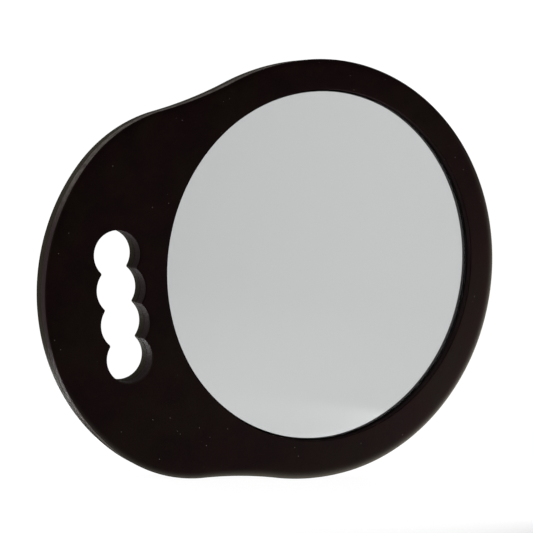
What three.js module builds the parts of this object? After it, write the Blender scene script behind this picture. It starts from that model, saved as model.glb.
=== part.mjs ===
// Salon hand mirror: a round glass mirror set into a flat board of black foam, with a
// handle board grown out of one side and a four-finger slot cut through it.
//
// The board is two foam sheets bonded face to face. The front sheet has a round opening;
// the glass lies in that opening, held to the back sheet by strips of foam tape.
//
// Board coordinates: the origin is the centre of the ring's outer circle, +x runs along the
// board's axis away from the handle, +y across it, +z out of the mirror's face.
// The finished part stands on the board's lower edge: +Z up, mirror facing -Y, handle
// towards -X, its origin in the middle of the footprint.
import * as THREE from 'three';

// ---- Outline of the board (mm) ----
const ringRadius = 140;          // outer edge beyond the mirror
const cheekRadius = 161.5;       // flatter stretch that leads from the ring to the neck
const neckRadius = 288;          // hollow between cheek and shoulder
const shoulderRadius = 95.5;     // rounded corner of the handle
const endRadius = 129.5;         // outer end of the handle
const shoulderStart = 45;        // degrees round the end at which the shoulder takes over
const handleLength = 56.5;       // how far the handle stands out past the ring's circle

// ---- Mirror opening ----
const ringWidth = 22.5;          // foam between the opening and the ring's edge
const openingAlong = 2;          // the opening sits this far off the ring's centre
const openingAcross = 2.5;

// ---- Finger slot ----
const lobeCount = 4;             // one lobe for each finger
const lobePitch = 21.8;
const lobeRadius = 16.2;
const endLobeRadius = 15.2;      // first and last lobe
const gripWidth = 34;            // foam between the slot and the handle's end
const slotAcross = 1.7;          // the slot's middle sits this far off the board's axis

// ---- Layers, from the mirror's face backwards ----
const frontSheetThickness = 8.75;
const backSheetThickness = 8.75;
const bondThickness = 0.2;       // glue film between the two sheets
const glassThickness = 2;
const silverThickness = 0.2;
const paintThickness = 0.2;
const tapeThickness = 2;

// ---- Fits ----
const layerGap = 0.15;           // between one layer and the next
const bondInset = 0.6;           // glue film stops short of every cut edge
const glassClearance = 0.75;     // between the glass and the opening's wall
const coatingInset = 0.5;        // silver and paint stop short of the glass's edge
const tapeCount = 4;             // strips side by side across the back of the glass
const tapeWidth = 24;
const tapeMargin = 9;            // tape stops this far inside the glass's edge

// ---- How finely the arcs are drawn ----
const arcStep = 6;               // longest straight stretch on an outline
const arcTurn = 0.2;             // most that one stretch turns, in radians

// ---- Radii and depths below the mirror's face that follow from the sizes above ----
const openingRadius = ringRadius - ringWidth;
const openingCentre = new THREE.Vector2(openingAlong, openingAcross);
const glassRadius = openingRadius - glassClearance;
const bondDepth = frontSheetThickness + layerGap;
const backSheetDepth = bondDepth + bondThickness + layerGap;
const tapeDepth = backSheetDepth - layerGap - tapeThickness;
const paintDepth = tapeDepth - layerGap - paintThickness;
const silverDepth = paintDepth - layerGap - silverThickness;
const glassDepth = silverDepth - layerGap - glassThickness;
const boardThickness = backSheetDepth + backSheetThickness;

// Points on an arc from one angle to another, without the last one.
function arc(centre, radius, from, to) {
  const sweep = Math.abs(to - from);
  const steps = Math.ceil(Math.max((radius * sweep) / arcStep, sweep / arcTurn));
  const curve = new THREE.EllipseCurve(centre.x, centre.y, radius, radius, from, to, to < from);
  return curve.getPoints(steps).slice(0, -1);
}

function angleTo(from, to) {
  return Math.atan2(to.y - from.y, to.x - from.x);
}

// Centre of a circle that touches two others from outside, on their upper side.
function touchingCentre(right, rightRadius, left, leftRadius, radius) {
  const span = right.distanceTo(left);
  const toRight = rightRadius + radius;
  const toLeft = leftRadius + radius;
  const along = (span * span + toRight * toRight - toLeft * toLeft) / (2 * span);
  const aside = Math.sqrt(toRight * toRight - along * along);
  const direction = left.clone().sub(right).divideScalar(span);
  const normal = new THREE.Vector2(direction.y, -direction.x);
  return right.clone().addScaledVector(direction, along).addScaledVector(normal, aside);
}

// Centres of the arcs that make the upper half of the board's outline.
function outlineCentres() {
  const reach = ringRadius + handleLength;
  const ring = new THREE.Vector2(0, 0);
  const cheek = new THREE.Vector2(0, ringRadius - cheekRadius);
  const end = new THREE.Vector2(endRadius - reach, 0);
  const turn = Math.PI - THREE.MathUtils.degToRad(shoulderStart);
  const inset = endRadius - shoulderRadius;
  const shoulder = new THREE.Vector2(
    end.x + inset * Math.cos(turn),
    end.y + inset * Math.sin(turn),
  );
  const neck = touchingCentre(cheek, cheekRadius, shoulder, shoulderRadius, neckRadius);
  return { ring, cheek, end, shoulder, neck, turn };
}

// Upper half of the outline, from the ring's far side round to the handle's end. An inset
// shrinks the outline evenly.
function upperOutline(inset) {
  const { ring, cheek, end, shoulder, neck, turn } = outlineCentres();
  const cheekEnd = angleTo(cheek, neck);
  const shoulderEnd = angleTo(shoulder, neck);
  const neckFrom = cheekEnd - Math.PI;
  const neckTo = shoulderEnd - Math.PI;
  return [
    ...arc(ring, ringRadius - inset, 0, Math.PI / 2),
    ...arc(cheek, cheekRadius - inset, Math.PI / 2, cheekEnd),
    ...arc(neck, neckRadius + inset, neckFrom, neckTo),
    ...arc(shoulder, shoulderRadius - inset, shoulderEnd, turn),
    ...arc(end, endRadius - inset, turn, Math.PI),
  ];
}

function boardOutline(inset = 0) {
  const upper = upperOutline(inset);
  const reach = ringRadius + handleLength - inset;
  const lower = upper.slice(1).reverse().map((p) => new THREE.Vector2(p.x, -p.y));
  return [...upper, new THREE.Vector2(-reach, 0), ...lower];
}

// Lobes of the finger slot, from the lowest up.
function slotLobes() {
  const x = -(ringRadius + handleLength - gripWidth - lobeRadius);
  return Array.from({ length: lobeCount }, (_, i) => ({
    centre: new THREE.Vector2(x, slotAcross + (i - (lobeCount - 1) / 2) * lobePitch),
    radius: i === 0 || i === lobeCount - 1 ? endLobeRadius : lobeRadius,
  }));
}

// Angle above a lobe's middle at which it meets its neighbour.
function meetingAngle(lobe, neighbour) {
  const pitch = lobe.centre.distanceTo(neighbour.centre);
  const along = (pitch * pitch + lobe.radius ** 2 - neighbour.radius ** 2) / (2 * pitch);
  return Math.asin(along / lobe.radius);
}

// The slot's outline: up the right-hand side, round the top and down the left. A growth
// widens the slot evenly.
function slotOutline(growth = 0) {
  const lobes = slotLobes().map((lobe) => ({ ...lobe, radius: lobe.radius + growth }));
  const last = lobes.length - 1;
  const points = [];
  lobes.forEach((lobe, i) => {
    const from = i === 0 ? -Math.PI / 2 : -meetingAngle(lobe, lobes[i - 1]);
    const to = i === last ? Math.PI / 2 : meetingAngle(lobe, lobes[i + 1]);
    points.push(...arc(lobe.centre, lobe.radius, from, to));
  });
  lobes.slice().reverse().forEach((lobe, k) => {
    const i = last - k;
    const from = i === last ? Math.PI / 2 : Math.PI - meetingAngle(lobe, lobes[i + 1]);
    const to = i === 0 ? (3 * Math.PI) / 2 : Math.PI + meetingAngle(lobe, lobes[i - 1]);
    points.push(...arc(lobe.centre, lobe.radius, from, to));
  });
  return points;
}

function circle(centre, radius) {
  return arc(centre, radius, 0, 2 * Math.PI);
}

// A flat layer: an outline with its holes, from one depth below the face to another.
function layer(outline, holes, depth, thickness) {
  const shape = new THREE.Shape(outline);
  shape.holes = holes.map((points) => new THREE.Path(points));
  const geometry = new THREE.ExtrudeGeometry(shape, { depth: thickness, bevelEnabled: false });
  return geometry.translate(0, 0, -depth - thickness);
}

const materials = {
  foam: new THREE.MeshStandardMaterial({ color: 0x1c1515, roughness: 0.85, metalness: 0 }),
  glue: new THREE.MeshStandardMaterial({ color: 0x0c0b0b, roughness: 0.6, metalness: 0 }),
  glass: new THREE.MeshStandardMaterial({ color: 0xd5dcda, roughness: 0.02, metalness: 0 }),
  silver: new THREE.MeshStandardMaterial({ color: 0xdcdee0, roughness: 0.02, metalness: 1 }),
  paint: new THREE.MeshStandardMaterial({ color: 0x59605f, roughness: 0.7, metalness: 0 }),
  tape: new THREE.MeshStandardMaterial({ color: 0xe4e2dc, roughness: 0.9, metalness: 0 }),
};

function frontSheet() {
  const holes = [circle(openingCentre, openingRadius), slotOutline()];
  return layer(boardOutline(), holes, 0, frontSheetThickness);
}

function bondFilm() {
  const opening = circle(openingCentre, openingRadius + bondInset);
  const holes = [opening, slotOutline(bondInset)];
  return layer(boardOutline(bondInset), holes, bondDepth, bondThickness);
}

function backSheet() {
  return layer(boardOutline(), [slotOutline()], backSheetDepth, backSheetThickness);
}

function disc(radius, depth, thickness) {
  return layer(circle(openingCentre, radius), [], depth, thickness);
}

// One strip of tape on the back of the glass, as long as the glass allows.
function tapeStrip(index) {
  const tapedRadius = glassRadius - tapeMargin;
  const position = (index - (tapeCount - 1) / 2) * ((2 * tapedRadius) / tapeCount);
  const farEdge = Math.abs(position) + tapeWidth / 2;
  const halfLength = Math.sqrt(tapedRadius ** 2 - farEdge ** 2);
  const strip = new THREE.BoxGeometry(tapeWidth, 2 * halfLength, tapeThickness);
  return strip.translate(
    openingCentre.x + position,
    openingCentre.y,
    -tapeDepth - tapeThickness / 2,
  );
}

function part(name, geometry, material) {
  const mesh = new THREE.Mesh(geometry, material);
  mesh.name = name;
  return mesh;
}

function board() {
  const group = new THREE.Group();
  group.add(
    part('front_foam_sheet', frontSheet(), materials.foam),
    part('sheet_bond_film', bondFilm(), materials.glue),
    part('back_foam_sheet', backSheet(), materials.foam),
    part('mirror_glass', disc(glassRadius, glassDepth, glassThickness), materials.glass),
    part(
      'mirror_silvering',
      disc(glassRadius - coatingInset, silverDepth, silverThickness),
      materials.silver,
    ),
    part(
      'mirror_backing_paint',
      disc(glassRadius - coatingInset, paintDepth, paintThickness),
      materials.paint,
    ),
  );
  for (let i = 0; i < tapeCount; i += 1) {
    group.add(part(`mounting_tape_${i + 1}`, tapeStrip(i), materials.tape));
  }
  return group;
}

// Lean of the board's axis when it rests on the ring's cheek and the handle's shoulder:
// the slope of the line that touches both circles from below.
function restingLean() {
  const { cheek, shoulder } = outlineCentres();
  const cheekBelow = new THREE.Vector2(cheek.x, -cheek.y);
  const shoulderBelow = new THREE.Vector2(shoulder.x, -shoulder.y);
  const span = shoulderBelow.distanceTo(cheekBelow);
  const bearing = angleTo(shoulderBelow, cheekBelow);
  const down = bearing - Math.acos((shoulderRadius - cheekRadius) / span);
  return -Math.PI / 2 - down;
}

// Stand the board on its edge, with its footprint's middle at the origin.
function standing(group) {
  const lean = restingLean();
  const turned = boardOutline().map((p) => p.clone().rotateAround(new THREE.Vector2(), lean));
  const xs = turned.map((p) => p.x);
  const ys = turned.map((p) => p.y);
  const leaning = new THREE.Group();
  leaning.rotation.z = lean;
  leaning.position.set(-(Math.min(...xs) + Math.max(...xs)) / 2, -Math.min(...ys), 0);
  leaning.add(group);
  const upright = new THREE.Group();
  upright.rotation.x = Math.PI / 2;
  upright.position.y = -boardThickness / 2;
  upright.add(leaning);
  return upright;
}

export default standing(board());
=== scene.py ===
"""Looks of the salon hand mirror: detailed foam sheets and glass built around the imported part.

Lengths are in millimetres on the board, whose own axes are u (along the board, away from the
handle), v (across it, up) and w (depth below the mirror's face). place() turns them into the
row frame in metres.
"""

import math

import bmesh
import bpy
import numpy as np
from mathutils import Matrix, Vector, noise
from mathutils.geometry import delaunay_2d_cdt


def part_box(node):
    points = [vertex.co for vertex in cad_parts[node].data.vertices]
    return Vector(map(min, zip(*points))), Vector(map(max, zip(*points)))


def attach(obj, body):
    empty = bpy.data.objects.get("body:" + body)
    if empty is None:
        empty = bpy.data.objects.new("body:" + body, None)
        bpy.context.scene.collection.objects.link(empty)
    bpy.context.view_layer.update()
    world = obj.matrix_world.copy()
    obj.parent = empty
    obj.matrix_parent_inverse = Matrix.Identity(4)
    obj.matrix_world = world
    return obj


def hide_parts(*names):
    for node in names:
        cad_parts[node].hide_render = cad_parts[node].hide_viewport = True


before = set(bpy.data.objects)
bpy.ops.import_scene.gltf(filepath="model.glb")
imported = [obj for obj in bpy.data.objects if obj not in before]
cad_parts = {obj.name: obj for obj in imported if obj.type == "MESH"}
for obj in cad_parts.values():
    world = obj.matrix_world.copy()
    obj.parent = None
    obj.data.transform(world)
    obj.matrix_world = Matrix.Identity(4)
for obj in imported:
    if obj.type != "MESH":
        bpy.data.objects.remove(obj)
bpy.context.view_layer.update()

# ---- Outline of the board, as in the part ----
RING = 140.0             # radius of the ring's far side
CHEEK = 161.5            # radius of the flatter stretch that leads to the neck
NECK = 288.0             # radius of the hollow neck
SHOULDER = 95.5          # radius of the handle's rounded corners
END = 129.5              # radius of the handle's end
SHOULDER_TURN = math.radians(180 - 45)   # where the shoulder meets the end
HANDLE = 56.5            # the handle's reach past the ring
OPENING_RADIUS = 117.5
OPENING_CENTRE = np.array([2.0, 2.5])
LOBE_PITCH = 21.8        # between the finger slot's lobes
LOBE_RADII = (15.2, 16.2, 16.2, 15.2)
GRIP = 34.0              # foam between the slot and the handle's end
SLOT_ACROSS = 1.7        # the slot's middle lies this far across the board

# ---- Finish of the edges ----
FRONT_EDGE = (6.0, 2.7)  # reach and depth of the rolled outer edge, on the mirror's side
BACK_EDGE = (2.8, 2.2)   # and on the back
EDGE_STEPS = 7           # steps down a rounded edge
HANDLE_EDGE = 0.55       # the outer edge's size on the handle, as a share of the ring's
EDGE_GROWTH = (-170, 40)  # between these places along the board it grows to its full size,
EDGE_SLANT = 0.35        # and earlier on the board's lower side
WALL_STEPS = (0.3, 0.6, 0.85)  # rows down a cut wall, as shares of its depth
CUSP_RADIUS = 1.3        # rounding of the foam tips between the slot's lobes
TIP_STEPS = 5
OPENING_EDGE = 0.6       # rounding of the opening's rim
SLOT_EDGE = 0.9
# The lip that closes the sheets' joint: (inset, depth past the sheet's own joint face).
LIP = ((0.0, -0.12), (0.06, 0.10), (0.22, 0.20), (0.45, 0.08), (0.55, 0.0))
POINT_STEP = 1.6         # between points along an edge
FACE_STEP = 3.0          # between points on a face
ROW_HEIGHT = 0.866       # of a triangle with sides of 1
TUCK = 0.04              # keeps the outer edge inside the part's own outline
CROWN = 0.40             # the face falls by this much towards the outer edge
CROWN_ROWS = (14.5, 12.6, 10.9, 9.4, 8.1, 7.0)  # rows of points over the crown, from the edge
WAVE = (0.16, 38, 3.1)   # broad unevenness of the face: height, length, slice of the noise
RIPPLE = (0.04, 11, 8.7)  # and the fine one
FADE_SHARE = 0.75        # crown, wave and ripple fade out over this share of the thickness
FACE_SHARE = 0.35        # the upper part of a sheet's edge that has the face's skin

# ---- View ----
CAMERA_PLACE = (-0.45879, -0.80436, 0.17266)    # metres
CAMERA_TURN = (87.93982, -6.20550, -28.75320)   # degrees
LENS = 94.56

# ---- Depths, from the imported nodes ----
FACE_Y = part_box("front_foam_sheet")[0].y


def depth_range(node):
    """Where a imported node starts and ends, in millimetres below the mirror's face."""
    low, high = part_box(node)
    return (low.y - FACE_Y) * 1000, (high.y - FACE_Y) * 1000


# ------------------------------------------------------------------ outline of the board

def angle(origin, point):
    """Bearing of a point from an origin, in radians."""
    return math.atan2(point[1] - origin[1], point[0] - origin[0])


def direction(turn):
    """Unit vector at an angle."""
    return np.array([math.cos(turn), math.sin(turn)])


def touching_centre(right, right_radius, left, left_radius, radius):
    """Centre of a circle that touches two others from outside, on their upper side."""
    span = np.linalg.norm(right - left)
    to_right, to_left = right_radius + radius, left_radius + radius
    along = (span**2 + to_right**2 - to_left**2) / (2 * span)
    aside = math.sqrt(to_right**2 - along**2)
    line = (left - right) / span
    return right + line * along + np.array([line[1], -line[0]]) * aside


CHEEK_CENTRE = np.array([0.0, RING - CHEEK])
END_CENTRE = np.array([END - RING - HANDLE, 0.0])
SHOULDER_CENTRE = END_CENTRE + (END - SHOULDER) * direction(SHOULDER_TURN)
NECK_CENTRE = touching_centre(CHEEK_CENTRE, CHEEK, SHOULDER_CENTRE, SHOULDER, NECK)


def arc(centre, radius, start, end, hollow=False):
    """Points along an arc, without the last, each with the normal that points into the foam."""
    steps = max(2, math.ceil(radius * abs(end - start) / POINT_STEP))
    side = 1.0 if hollow else -1.0
    turns = [start + (end - start) * i / steps for i in range(steps)]
    return [(centre + radius * direction(t), side * direction(t)) for t in turns]


def board_loop():
    """The board's outer edge, anticlockwise from the ring's far side."""
    cheek_end = angle(CHEEK_CENTRE, NECK_CENTRE)
    shoulder_end = angle(SHOULDER_CENTRE, NECK_CENTRE)
    upper = [
        *arc(np.zeros(2), RING, 0, math.pi / 2),
        *arc(CHEEK_CENTRE, CHEEK, math.pi / 2, cheek_end),
        *arc(NECK_CENTRE, NECK, cheek_end - math.pi, shoulder_end - math.pi, hollow=True),
        *arc(SHOULDER_CENTRE, SHOULDER, shoulder_end, SHOULDER_TURN),
        *arc(END_CENTRE, END, SHOULDER_TURN, math.pi),
    ]
    mirror = np.array([1.0, -1.0])
    tip = (np.array([-RING - HANDLE, 0.0]), np.array([1.0, 0.0]))
    lower = [(p * mirror, n * mirror) for p, n in reversed(upper[1:])]
    return upper + [tip] + lower


def opening_loop():
    """The round opening's edge, in the front sheet only."""
    return arc(OPENING_CENTRE, OPENING_RADIUS, 0, 2 * math.pi, hollow=True)


def slot_loop():
    """The finger slot's edge, with the foam tips between its lobes rounded."""
    x = -(RING + HANDLE - GRIP - LOBE_RADII[1])
    count = len(LOBE_RADII)
    centres = [np.array([x, SLOT_ACROSS + (i - (count - 1) / 2) * LOBE_PITCH])
               for i in range(count)]
    loop = []

    def tip(i):
        """Centre of the rounding between lobes i and i + 1, on the mirror's side of the slot."""
        lower, upper = LOBE_RADII[i] + CUSP_RADIUS, LOBE_RADII[i + 1] + CUSP_RADIUS
        along = (LOBE_PITCH**2 + lower**2 - upper**2) / (2 * LOBE_PITCH)
        return centres[i] + np.array([math.sqrt(lower**2 - along**2), along])

    def round_tip(centre, start, end):
        """Points round a foam tip, each with the normal that points into the foam."""
        turns = [start + (end - start) * k / TIP_STEPS for k in range(TIP_STEPS)]
        return [(centre + CUSP_RADIUS * direction(t), -direction(t)) for t in turns]

    for i in range(count):
        start = -math.pi / 2 if i == 0 else angle(centres[i], tip(i - 1))
        end = math.pi / 2 if i == count - 1 else angle(centres[i], tip(i))
        loop += arc(centres[i], LOBE_RADII[i], start, end, hollow=True)
        if i < count - 1:
            corner = tip(i)
            first = angle(corner, centres[i]) + 2 * math.pi
            last = angle(corner, centres[i + 1])
            loop += round_tip(corner, first, last)
    mirror = np.array([-1.0, 1.0])
    middle = np.array([x, 0.0])
    other = [((p - middle) * mirror + middle, n * mirror) for p, n in loop]
    top = (centres[-1] + LOBE_RADII[-1] * direction(math.pi / 2), direction(math.pi / 2))
    return loop + [top] + list(reversed(other))[:-1]


# ------------------------------------------------------------------ place in the row frame

def resting_lean():
    """Angle of the board's axis when it stands on the ring's cheek and the handle."""
    mirror = np.array([1.0, -1.0])
    cheek, shoulder = CHEEK_CENTRE * mirror, SHOULDER_CENTRE * mirror
    bearing = angle(shoulder, cheek)
    span = np.linalg.norm(shoulder - cheek)
    return -math.pi / 2 - bearing + math.acos((SHOULDER - CHEEK) / span)


LEAN = resting_lean()
ALONG = Vector((math.cos(LEAN), 0, math.sin(LEAN)))
ACROSS = Vector((-math.sin(LEAN), 0, math.cos(LEAN)))
glass_low, glass_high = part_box("mirror_glass")
OPENING_PLACE = (glass_low + glass_high) / 2


def place(u, v, w):
    """Board millimetres to row-frame metres."""
    flat = ALONG * (u - OPENING_CENTRE[0]) + ACROSS * (v - OPENING_CENTRE[1])
    return Vector((OPENING_PLACE.x, FACE_Y + w * 0.001, OPENING_PLACE.z)) + flat * 0.001


# ------------------------------------------------------------------ foam sheets

def smooth(low, high, value):
    """Rises smoothly from 0 to 1 while the value goes from low to high."""
    t = np.clip((value - low) / (high - low), 0, 1)
    return t * t * (3 - 2 * t)


def rounding(reach, depth):
    """(inset, depth) down a rounded edge, from the face to the wall."""
    turns = [math.pi / 2 * i / EDGE_STEPS for i in range(EDGE_STEPS + 1)]
    return [(reach * (1 - math.sin(t)), depth * (1 - math.cos(t))) for t in turns]


def wall_profile(edge, edge_depth, thickness, lip):
    """(inset, depth) from a rounded face edge down the cut wall to the joint."""
    profile = rounding(edge, edge_depth)
    profile += [(0.0, edge_depth + (thickness - edge_depth) * f) for f in WALL_STEPS]
    joint = LIP if lip else ((0.0, 0.0),)
    return profile + [(inset, thickness + past) for inset, past in joint]


def edge_softness(point):
    """How far the outer edge is rolled over: soft on the ring, crisper on the handle."""
    growth = smooth(*EDGE_GROWTH, point[0] - EDGE_SLANT * point[1])
    return HANDLE_EDGE + (1 - HANDLE_EDGE) * growth


def sweep(loop, profile):
    """Rows of (u, v, depth), one row for each step of the profile."""
    return [[(*(p + n * inset), depth) for p, n in loop] for inset, depth in profile]


def outer_sweep(loop, edge, edge_depth, thickness):
    """As sweep(), with crown rows and with the rolled edge's size changing along the loop."""
    crown = [(inset, 0.0) for inset in CROWN_ROWS]
    softness = [float(edge_softness(p)) for p, _ in loop]
    columns = [crown + wall_profile(edge * s, edge_depth * s, thickness, True)
               for s in softness]
    rows = []
    for step in range(len(columns[0])):
        rows.append([(*(p + n * (columns[i][step][0] + TUCK)), columns[i][step][1])
                     for i, (p, n) in enumerate(loop)])
    return rows


def inside(points, polygon):
    """Which points lie inside a closed polygon."""
    x, y = points[:, 0:1], points[:, 1:2]
    x1, y1 = polygon[:, 0], polygon[:, 1]
    x2, y2 = np.roll(x1, -1), np.roll(y1, -1)
    crosses = (y1 > y) != (y2 > y)
    at = x1 + (y - y1) * (x2 - x1) / np.where(y2 == y1, 1e-12, y2 - y1)
    return (np.count_nonzero(crosses & (x < at), axis=1) % 2) == 1


def nearest(points, others):
    """Distance from each point to the nearest of the others."""
    best, batch = np.full(len(points), np.inf), 200
    for start in range(0, len(others), batch):
        part = others[start:start + batch]
        gap = np.linalg.norm(points[:, None, :] - part[None, :, :], axis=2).min(axis=1)
        best = np.minimum(best, gap)
    return best


def face_points(rims):
    """Points spread evenly over a face, clear of its rims. The first rim is the outer one."""
    low, high = rims[0].min(axis=0), rims[0].max(axis=0)
    rows = np.arange(low[1], high[1], FACE_STEP * ROW_HEIGHT)
    columns = np.arange(low[0], high[0], FACE_STEP)
    grid = np.array([(x + FACE_STEP / 2 * (j % 2), y)
                     for j, y in enumerate(rows) for x in columns])
    keep = inside(grid, rims[0])
    for rim in rims[1:]:
        keep &= ~inside(grid, rim)
    grid = grid[keep]
    return grid[nearest(grid, np.vstack(rims)) > FACE_STEP * 0.5]


def fill_face(rims):
    """Triangles between the rims: (extra points, triangles over rim points then extras)."""
    extra = face_points(rims)
    points = np.vstack([*rims, extra])
    edges, start = [], 0
    for rim in rims:
        count = len(rim)
        edges += [(start + i, start + (i + 1) % count) for i in range(count)]
        start += count
    filled = delaunay_2d_cdt([Vector(p) for p in points], edges, [], 1, 1e-7)
    origin = [source[0] for source in filled[3]]
    triangles = np.array([[origin[i] for i in face] for face in filled[2]])
    middles = points[triangles].mean(axis=1)
    solid = inside(middles, rims[0])
    for rim in rims[1:]:
        solid &= ~inside(middles, rim)
    return extra, triangles[solid].tolist()


def wall_rows(rows):
    """How many rows of a sweep, counted from the joint, make its cut wall."""
    flat = sum(1 for row in rows if row[0][2] < FACE_SHARE * rows[-1][0][2])
    return len(rows) - flat + 2


def sheet_mesh(sweeps):
    """A closed sheet from the sweeps of its edges: walls, then both faces between the rims.

    Depth grows away from the sheet's own outer face.
    """
    vertices, faces, is_wall, starts = [], [], [], []
    for rows in sweeps:
        starts.append(len(vertices))
        count = len(rows[0])
        for row in rows:
            vertices += row
        for r in range(len(rows) - 1):
            for i in range(count):
                a = starts[-1] + r * count + i
                b = starts[-1] + r * count + (i + 1) % count
                faces.append((a, b, b + count, a + count))
                is_wall.append(r >= len(rows) - wall_rows(rows))
    for top in (True, False):
        index, rims = [], []
        for rows, start in zip(sweeps, starts):
            row = 0 if top else len(rows) - 1
            rims.append(np.array([p[:2] for p in rows[row]]))
            index += [start + row * len(rows[0]) + i for i in range(len(rows[0]))]
        extra, triangles = fill_face(rims)
        depth = sweeps[0][0][0][2] if top else sweeps[0][-1][0][2]
        index += [len(vertices) + i for i in range(len(extra))]
        vertices += [(p[0], p[1], depth) for p in extra]
        for t in triangles:
            faces.append(tuple(index[i] for i in t))
            is_wall.append(False)
    return np.array(vertices), faces, is_wall


def face_outwards(mesh):
    """Turn every face of a closed mesh outwards."""
    solid = bmesh.new()
    solid.from_mesh(mesh)
    bmesh.ops.recalc_face_normals(solid, faces=solid.faces)
    solid.to_mesh(mesh)
    solid.free()


def unevenness(points, height, length, layer):
    """Soft noise over a face, from 0 to a height."""
    values = [0.5 + 0.5 * noise.noise(Vector((p[0] / length, p[1] / length, layer)))
              for p in points]
    return height * np.clip(values, 0, 1)


def relax_face(points, thickness):
    """Crown and unevenness of a sheet's outer face, fading out down its walls."""
    outer = np.array([p for p, _ in board_loop()])
    reach = nearest(points[:, :2], outer)
    fall = CROWN * (1 - smooth(0, CROWN_ROWS[0], reach)) ** 2
    fall = fall + unevenness(points, *WAVE) + unevenness(points, *RIPPLE)
    points[:, 2] += fall * (1 - smooth(0.0, thickness * FADE_SHARE, points[:, 2]))
    return points


def foam_sheet(name, node, holes, materials, facing_out):
    """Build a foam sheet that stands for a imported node, with its holes as (loop, rim, lip)."""
    low, high = depth_range(node)
    thickness = high - low
    edge, edge_depth = FRONT_EDGE if facing_out else BACK_EDGE
    sweeps = [outer_sweep(board_loop(), edge, edge_depth, thickness)]
    for loop, rim, lip in holes:
        sweeps.append(sweep(loop, wall_profile(rim, rim, thickness, lip)))
    points, faces, is_wall = sheet_mesh(sweeps)
    points = relax_face(points, thickness)
    depth = low + points[:, 2] if facing_out else high - points[:, 2]
    mesh = bpy.data.meshes.new(name)
    coords = [place(p[0], p[1], w) for p, w in zip(points, depth)]
    mesh.from_pydata(coords, [], faces)
    for material in materials:
        mesh.materials.append(material)
    for polygon, wall in zip(mesh.polygons, is_wall):
        polygon.use_smooth = True
        polygon.material_index = 1 if wall else 0
    face_outwards(mesh)
    piece = bpy.data.objects.new(name, mesh)
    bpy.context.scene.collection.objects.link(piece)
    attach(piece, "root")
    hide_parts(node)
    return piece


# ------------------------------------------------------------------ materials

def shader(name, **values):
    """A Principled material with its plain values set on the shader's own sockets."""
    material = bpy.data.materials.new(name)
    material.use_nodes = True
    bsdf = material.node_tree.nodes["Principled BSDF"]
    for key, value in values.items():
        bsdf.inputs[key.replace("_", " ")].default_value = value
    return material, bsdf


class Nodes:
    """Short calls for the nodes that the materials share."""

    def __init__(self, material):
        self.tree = material.node_tree
        source = self.tree.nodes.new("ShaderNodeTexCoord")
        self.coords = source.outputs["Object"]
        self.normals = source.outputs["Normal"]

    def add(self, kind, **settings):
        node = self.tree.nodes.new(kind)
        for key, value in settings.items():
            setattr(node, key, value)
        return node

    def link(self, source, target):
        self.tree.links.new(source, target)

    def noise(self, scale, detail, rough=0.5, stretch=None):
        node = self.add("ShaderNodeTexNoise")
        node.inputs["Scale"].default_value = scale
        node.inputs["Detail"].default_value = detail
        node.inputs["Roughness"].default_value = rough
        source = self.coords
        if stretch:
            mapping = self.add("ShaderNodeMapping")
            mapping.inputs["Scale"].default_value = stretch
            self.link(self.coords, mapping.inputs["Vector"])
            source = mapping.outputs["Vector"]
        self.link(source, node.inputs["Vector"])
        return node.outputs["Fac"]

    def voronoi(self, scale):
        node = self.add("ShaderNodeTexVoronoi")
        node.inputs["Scale"].default_value = scale
        self.link(self.coords, node.inputs["Vector"])
        return node

    def span(self, source, from_low, from_high, to_low, to_high, curve="LINEAR"):
        node = self.add("ShaderNodeMapRange", interpolation_type=curve)
        values = {"From Min": from_low, "From Max": from_high,
                  "To Min": to_low, "To Max": to_high}
        for key, value in values.items():
            node.inputs[key].default_value = value
        self.link(source, node.inputs["Value"])
        return node.outputs["Result"]

    def ramp(self, source, stops):
        node = self.add("ShaderNodeValToRGB")
        ramp = node.color_ramp
        while len(ramp.elements) < len(stops):
            ramp.elements.new(0.5)
        for element, (position, colour) in zip(ramp.elements, stops):
            element.position = position
            element.color = (*colour, 1)
        self.link(source, node.inputs["Fac"])
        return node.outputs["Color"]

    def math(self, operation, a, b):
        node = self.add("ShaderNodeMath", operation=operation)
        for i, value in enumerate((a, b)):
            if isinstance(value, (int, float)):
                node.inputs[i].default_value = value
            else:
                self.link(value, node.inputs[i])
        return node.outputs[0]

    def mix(self, factor, a, b):
        node = self.add("ShaderNodeMix", data_type="RGBA")
        self.link(factor, node.inputs["Factor"])
        for socket, value in ((node.inputs[6], a), (node.inputs[7], b)):
            if isinstance(value, tuple):
                socket.default_value = (*value, 1)
            else:
                self.link(value, socket)
        return node.outputs[2]

    def bump(self, height, strength, distance, below=None):
        node = self.add("ShaderNodeBump")
        node.inputs["Strength"].default_value = strength
        node.inputs["Distance"].default_value = distance
        self.link(height, node.inputs["Height"])
        if below is not None:
            self.link(below, node.inputs["Normal"])
        return node.outputs["Normal"]


def towards(n, x, z, low, high):
    """Rises from 0 to 1 across the board, between two distances along the direction (x, z)."""
    along = n.add("ShaderNodeVectorMath", operation="DOT_PRODUCT")
    n.link(n.coords, along.inputs[0])
    along.inputs[1].default_value = (x, 0.0, z)
    return n.span(along.outputs["Value"], low, high, 0.0, 1.0, "SMOOTHSTEP")


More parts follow.
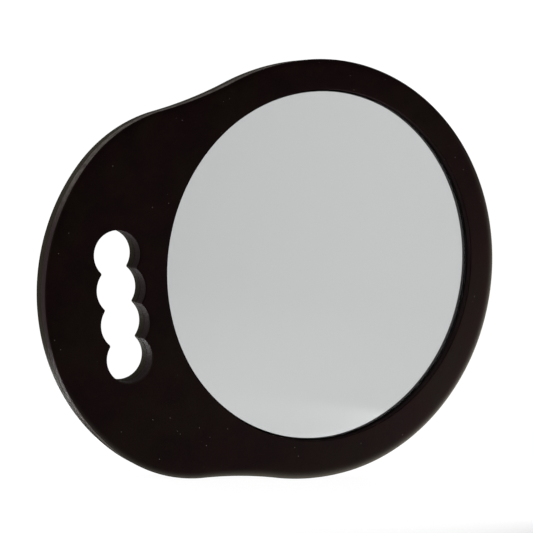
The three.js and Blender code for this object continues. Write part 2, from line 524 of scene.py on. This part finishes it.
def painted_outer_edge_highlight(n):
    """Painted highlight where the rolled outer edge turns away from the face, low and to the
    right.

    The opening's own rim, closer to its centre than the outer edge, gets no painted highlight.
    """
    normal = n.add("ShaderNodeSeparateXYZ")
    n.link(n.normals, normal.inputs["Vector"])
    turned = n.math("SUBTRACT", 1.0, n.math("ABSOLUTE", normal.outputs["Y"], 0.0))
    edge = n.math("MULTIPLY", n.span(turned, 0.0, 0.12, 0.0, 1.0),
                  towards(n, 0.6, -0.8, -0.15, 0.0))
    reach = n.add("ShaderNodeVectorMath", operation="DISTANCE")
    n.link(n.coords, reach.inputs[0])
    reach.inputs[1].default_value = OPENING_PLACE
    return n.math("MULTIPLY", edge, n.span(reach.outputs["Value"], 0.120, 0.126, 0.0, 1.0))


def dust(n):
    """Sparse specks of dust, in some places only."""
    specks = n.voronoi(230)
    small = n.math("LESS_THAN", specks.outputs["Distance"], 0.065)
    return n.math("MULTIPLY", small, n.math("GREATER_THAN", n.noise(90, 1), 0.57))


def foam_face():
    """Skin of the foam: matte near-black, mottled in red and olive patches, dusty, with a painted
    highlight on the rolled outer edge low on the right.
    """
    material, bsdf = shader("foam_face", Specular_IOR_Level=0.014)
    n = Nodes(material)
    mottle = n.noise(55, 5, 0.6)
    red = n.ramp(mottle, [(0.3, (0.0042, 0.0018, 0.0019)), (0.7, (0.0076, 0.0029, 0.0031))])
    olive = n.ramp(mottle, [(0.3, (0.0039, 0.0022, 0.0018)), (0.7, (0.0068, 0.0037, 0.0028))])
    patches = n.span(n.noise(26, 2, 0.5), 0.4, 0.62, 0.0, 1.0, "SMOOTHSTEP")
    dusty = n.mix(dust(n), n.mix(patches, red, olive), (0.085, 0.076, 0.068))
    # Painted highlight: the rolled outer edge low on the right is lightened towards a pale
    # yellowish grey.
    n.link(n.mix(painted_outer_edge_highlight(n), dusty, (0.055, 0.050, 0.041)), bsdf.inputs["Base Color"])
    n.link(n.span(mottle, 0.3, 0.7, 0.62, 0.78), bsdf.inputs["Roughness"])
    grain = n.bump(n.noise(1500, 2, 0.6), 0.5, 0.0002)
    n.link(n.bump(n.noise(240, 3, 0.55), 0.35, 0.0004, below=grain), bsdf.inputs["Normal"])
    return material


def foam_wall(name, dark, light, highlight_strength):
    """Cut wall of a foam sheet: open cells, faint strokes of the knife, and a pale painted
    highlight low on the left and, weaker, at the top left.
    """
    material, bsdf = shader(name, Specular_IOR_Level=0.008)
    n = Nodes(material)
    strokes = n.noise(600, 3, 0.65, stretch=(0.06, 1.0, 0.06))
    cut = n.ramp(strokes, [(0.3, dark), (0.7, light)])
    # Painted highlight: the base colour turns pale on the wall low on the left and, weaker, at
    # the top left, where light catches the edge.
    ends = n.math("MAXIMUM", towards(n, -0.6, -0.8, 0.040, 0.062),
                  n.math("MULTIPLY", towards(n, -0.5, 0.85, 0.205, 0.240), 0.55))
    painted_wall_highlight = n.math("MULTIPLY", ends, n.span(n.noise(180, 4, 0.6), 0.35, 0.6, 0.3 * highlight_strength, highlight_strength))
    n.link(n.mix(painted_wall_highlight, cut, (0.105, 0.096, 0.082)), bsdf.inputs["Base Color"])
    n.link(n.span(strokes, 0.3, 0.7, 0.6, 0.74), bsdf.inputs["Roughness"])
    cells = n.bump(n.voronoi(1100).outputs["Distance"], 0.4, 0.0003)
    n.link(n.bump(strokes, 0.25, 0.0005, below=cells), bsdf.inputs["Normal"])
    return material


def clear_glass():
    """Clear glass with the faintest haze of wiping."""
    material, bsdf = shader("clear_glass", Transmission_Weight=1.0, IOR=1.5,
                            Base_Color=(0.985, 0.99, 0.988, 1))
    n = Nodes(material)
    haze = n.noise(14, 4, 0.6)
    n.link(n.span(haze, 0.35, 0.75, 0.0, 0.012), bsdf.inputs["Roughness"])
    return material


def ground_edge():
    """Ground rim of the glass, near-black: painted shade for the dark gap between the glass and
    the foam wall.
    """
    material, bsdf = shader("ground_glass_edge", Specular_IOR_Level=0.2)
    n = Nodes(material)
    grit = n.noise(2200, 2, 0.6)
    n.link(n.ramp(grit, [(0.3, (0.004, 0.005, 0.0045)), (0.7, (0.009, 0.010, 0.0095))]),
           bsdf.inputs["Base Color"])
    n.link(n.span(grit, 0.3, 0.7, 0.4, 0.6), bsdf.inputs["Roughness"])
    n.link(n.bump(grit, 0.4, 0.0001), bsdf.inputs["Normal"])
    return material


def silvering():
    """The reflecting coat, a shade below a new mirror's, with a trace of cloudiness."""
    material, bsdf = shader("silver", Metallic=1.0)
    n = Nodes(material)
    cloud = n.noise(9, 2, 0.5)
    n.link(n.ramp(cloud, [(0.3, (0.800, 0.808, 0.812)), (0.7, (0.806, 0.814, 0.818))]),
           bsdf.inputs["Base Color"])
    n.link(n.span(cloud, 0.3, 0.7, 0.0, 0.006), bsdf.inputs["Roughness"])
    return material


def backing_paint():
    """Grey protective paint with the faint texture of a sprayed coat."""
    material, bsdf = shader("backing_paint", Specular_IOR_Level=0.4)
    n = Nodes(material)
    coat = n.noise(120, 4, 0.6)
    n.link(n.ramp(coat, [(0.3, (0.085, 0.1, 0.1)), (0.7, (0.12, 0.135, 0.132))]),
           bsdf.inputs["Base Color"])
    n.link(n.span(coat, 0.3, 0.7, 0.55, 0.75), bsdf.inputs["Roughness"])
    n.link(n.bump(n.noise(700, 2, 0.5), 0.3, 0.0002), bsdf.inputs["Normal"])
    return material


def foam_tape():
    """White foam tape with open cells."""
    material, bsdf = shader("foam_tape", Specular_IOR_Level=0.3)
    n = Nodes(material)
    cells = n.voronoi(1400)
    shade = n.noise(90, 3, 0.5)
    n.link(n.ramp(shade, [(0.3, (0.70, 0.69, 0.64)), (0.7, (0.80, 0.79, 0.75))]),
           bsdf.inputs["Base Color"])
    n.link(n.span(shade, 0.3, 0.7, 0.8, 0.92), bsdf.inputs["Roughness"])
    n.link(n.bump(cells.outputs["Distance"], 0.5, 0.0003), bsdf.inputs["Normal"])
    return material


def bond_glue():
    """Thin black contact glue, smeared unevenly."""
    material, bsdf = shader("bond_glue", Specular_IOR_Level=0.4)
    n = Nodes(material)
    smear = n.noise(140, 4, 0.6)
    n.link(n.ramp(smear, [(0.3, (0.006, 0.005, 0.005)), (0.7, (0.011, 0.010, 0.010))]),
           bsdf.inputs["Base Color"])
    n.link(n.span(smear, 0.3, 0.7, 0.45, 0.7), bsdf.inputs["Roughness"])
    n.link(n.bump(smear, 0.3, 0.0003), bsdf.inputs["Normal"])
    return material


# ------------------------------------------------------------------ glass

def glass_piece(materials):
    """The mirror's glass: a disc with a narrow ground seam round both edges."""
    low, high = depth_range("mirror_glass")
    radius = (glass_high.z - glass_low.z) / 2 * 1000
    seam = 0.35
    profile = [(radius - seam, low), (radius, low + seam), (radius, high - seam),
               (radius - seam, high)]
    count = 320
    points = [place(*OPENING_CENTRE, low)]
    for r, w in profile:
        for i in range(count):
            u, v = OPENING_CENTRE + r * direction(2 * math.pi * i / count)
            points.append(place(u, v, w))
    points.append(place(*OPENING_CENTRE, high))
    faces, rim = [], []
    last = len(points) - 1
    for i in range(count):
        j = (i + 1) % count
        faces.append((0, 1 + j, 1 + i))
        rim.append(False)
        for k in range(len(profile) - 1):
            a, b = 1 + k * count + i, 1 + k * count + j
            faces.append((a, b, b + count, a + count))
            rim.append(True)
        a = 1 + (len(profile) - 1) * count
        faces.append((last, a + i, a + j))
        rim.append(False)
    mesh = bpy.data.meshes.new("glass_disc")
    mesh.from_pydata(points, [], faces)
    for material in materials:
        mesh.materials.append(material)
    for polygon, ground in zip(mesh.polygons, rim):
        polygon.material_index = 1 if ground else 0
    face_outwards(mesh)
    piece = bpy.data.objects.new("glass_disc", mesh)
    bpy.context.scene.collection.objects.link(piece)
    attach(piece, "root")
    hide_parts("mirror_glass")
    return piece


def dress(node, material):
    """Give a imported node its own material."""
    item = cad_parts[node]
    item.data.materials.clear()
    item.data.materials.append(material)


# ------------------------------------------------------------------ stage, lights, camera

FRONT_GLOW = (0.05, 0.65)    # paper in front of the mirror, from its left to its right
BACK_GLOW = 0.95             # paper behind it


def bowl_mesh():
    """A flat round floor that curves up into a distant wall and closes above, in metres."""
    floor, bend, roof, count, steps = 2.2, 2.4, 2.0, 96, 24
    profile = [(r, 0.0) for r in (0.3, 0.8, 1.5, floor)]
    turns = [math.pi / 2 * i / steps for i in range(1, steps + 1)]
    profile += [(floor + bend * math.sin(t), bend * (1 - math.cos(t))) for t in turns]
    profile += [((floor + bend) * math.cos(t), bend + roof * math.sin(t)) for t in turns[:-1]]
    points = [(0, 0, 0)]
    for r, z in profile:
        points += [(*(r * direction(2 * math.pi * i / count)), z) for i in range(count)]
    points.append((0, 0, bend + roof))
    top, faces = len(points) - 1, []
    for i in range(count):
        j = (i + 1) % count
        faces.append((0, 1 + i, 1 + j))
        for k in range(len(profile) - 1):
            a, b = 1 + k * count + i, 1 + k * count + j
            faces.append((a, a + count, b + count, b))
        a = 1 + (len(profile) - 1) * count
        faces.append((top, a + j, a + i))
    mesh = bpy.data.meshes.new("stage")
    mesh.from_pydata(points, [], faces)
    for polygon in mesh.polygons:
        polygon.use_smooth = True
    return mesh


def stage_paper():
    """Glowing paper, brightest behind the mirror and close beside it.

    In front it falls off to the left and upwards. The mirror reflects the paper in front of
    it on the right.
    """
    material, bsdf = shader("stage_paper", Roughness=1.0, Specular_IOR_Level=0.0,
                            Base_Color=(0.09, 0.09, 0.09, 1), Emission_Color=(1, 1, 1, 1))
    n = Nodes(material)
    split = n.add("ShaderNodeSeparateXYZ")
    length = n.add("ShaderNodeVectorMath", operation="LENGTH")
    n.link(n.coords, split.inputs["Vector"])
    n.link(n.coords, length.inputs[0])
    x, y, z = (split.outputs[axis] for axis in "XYZ")
    distance = length.outputs["Value"]
    reach = n.math("ADD", distance, 0.25)

    # In front, it is brighter to the right and dimmer upwards.
    rightward = n.math("DIVIDE", n.math("ADD", x, 0.25), reach)
    upward = n.math("DIVIDE", z, reach)
    low = n.span(upward, 0.16, 0.5, 1.0, 0.2, "SMOOTHSTEP")
    front = n.math("MULTIPLY", low, n.span(rightward, -0.45, 0.65, *FRONT_GLOW, "SMOOTHSTEP"))

    # It is bright behind a slanting line, and near the mirror also a little way in front of
    # it, with a soft edge that widens to both sides.
    slant = n.math("MULTIPLY", x, -0.5)
    backward = n.math("DIVIDE", n.math("ADD", y, slant), reach)
    aside = n.math("ABSOLUTE", n.math("SUBTRACT", x, 0.12), 0.0)
    fade = n.math("ADD", n.math("MULTIPLY", aside, 0.8), 0.06)
    beside = n.math("DIVIDE", n.math("ADD", y, 0.112), fade)
    beside = n.span(beside, -1.0, 0.0, 0.0, 1.0, "SMOOTHSTEP")
    close = n.span(distance, 0.25, 1.1, 1.0, 0.0, "SMOOTHSTEP")
    share = n.math("MAXIMUM", n.span(backward, -0.55, -0.12, 0.0, 1.0, "SMOOTHSTEP"),
                   n.math("MULTIPLY", beside, close))
    behind = n.math("MULTIPLY", share, n.math("SUBTRACT", BACK_GLOW, front))
    n.link(n.math("ADD", front, behind), bsdf.inputs["Emission Strength"])
    return material


def stage_bowl():
    """A pale seamless bowl of paper that the mirror stands in."""
    mesh = bowl_mesh()
    stage = bpy.data.objects.new("stage", mesh)
    bpy.context.scene.collection.objects.link(stage)
    mesh.materials.append(stage_paper())


def softbox(name, place_at, aim, size, power):
    """A rectangular light that the camera doesn't see, in metres and watts."""
    data = bpy.data.lights.new(name, "AREA")
    data.shape = "RECTANGLE"
    data.size, data.size_y = size
    data.energy = power
    light = bpy.data.objects.new(name, data)
    bpy.context.scene.collection.objects.link(light)
    light.location = place_at
    facing = Vector(aim) - Vector(place_at)
    light.rotation_euler = facing.to_track_quat("-Z", "Y").to_euler()
    light.visible_camera = False


def add_camera():
    """A long lens in front of the mirror and to its left."""
    data = bpy.data.cameras.new("camera")
    data.sensor_width = 36.0
    data.lens = LENS
    data.clip_end = 20.0
    camera = bpy.data.objects.new("camera", data)
    bpy.context.scene.collection.objects.link(camera)
    camera.location = CAMERA_PLACE
    camera.rotation_euler = [math.radians(a) for a in CAMERA_TURN]
    bpy.context.scene.camera = camera


# ------------------------------------------------------------------ build it all

face = foam_face()
# The last number sets the strength of each wall's painted highlight.
front_wall = foam_wall("foam_wall_front", (0.0125, 0.0078, 0.0082), (0.0215, 0.0140, 0.0145), 1.0)
back_wall = foam_wall("foam_wall_back", (0.0105, 0.0086, 0.0054), (0.0175, 0.0147, 0.0092), 0.15)

foam_sheet("foam_front", "front_foam_sheet",
           [(opening_loop(), OPENING_EDGE, False), (slot_loop(), SLOT_EDGE, True)],
           (face, front_wall), facing_out=True)
foam_sheet("foam_back", "back_foam_sheet",
           [(slot_loop(), SLOT_EDGE, True)],
           (face, back_wall), facing_out=False)
glass_piece((clear_glass(), ground_edge()))

dress("mirror_silvering", silvering())
dress("mirror_backing_paint", backing_paint())
dress("sheet_bond_film", bond_glue())
tape = foam_tape()
for number in range(1, 5):
    dress(f"mounting_tape_{number}", tape)

stage_bowl()
softbox("left_light", (-1.5, 0.35, 0.45), (0, 0, 0.1), (0.9, 0.7), 6)
softbox("low_left_light", (-0.58, -0.02, 0.03), (-0.1, 0, 0.12), (0.24, 0.08), 0.5)
softbox("low_back_light", (-0.12, 0.13, 0.012), (-0.08, 0, 0.12), (0.10, 0.05), 0.42)
softbox("top_light", (-0.8, 0.45, 1.4), (0, 0, 0.1), (1.4, 1.0), 3)
softbox("right_light", (0.38, -0.22, 0.02), (0.06, 0, 0.03), (0.10, 0.04), 2.5)
bpy.context.scene.world = bpy.data.worlds.new("world")
bpy.context.scene.view_settings.view_transform = "Standard"
add_camera()
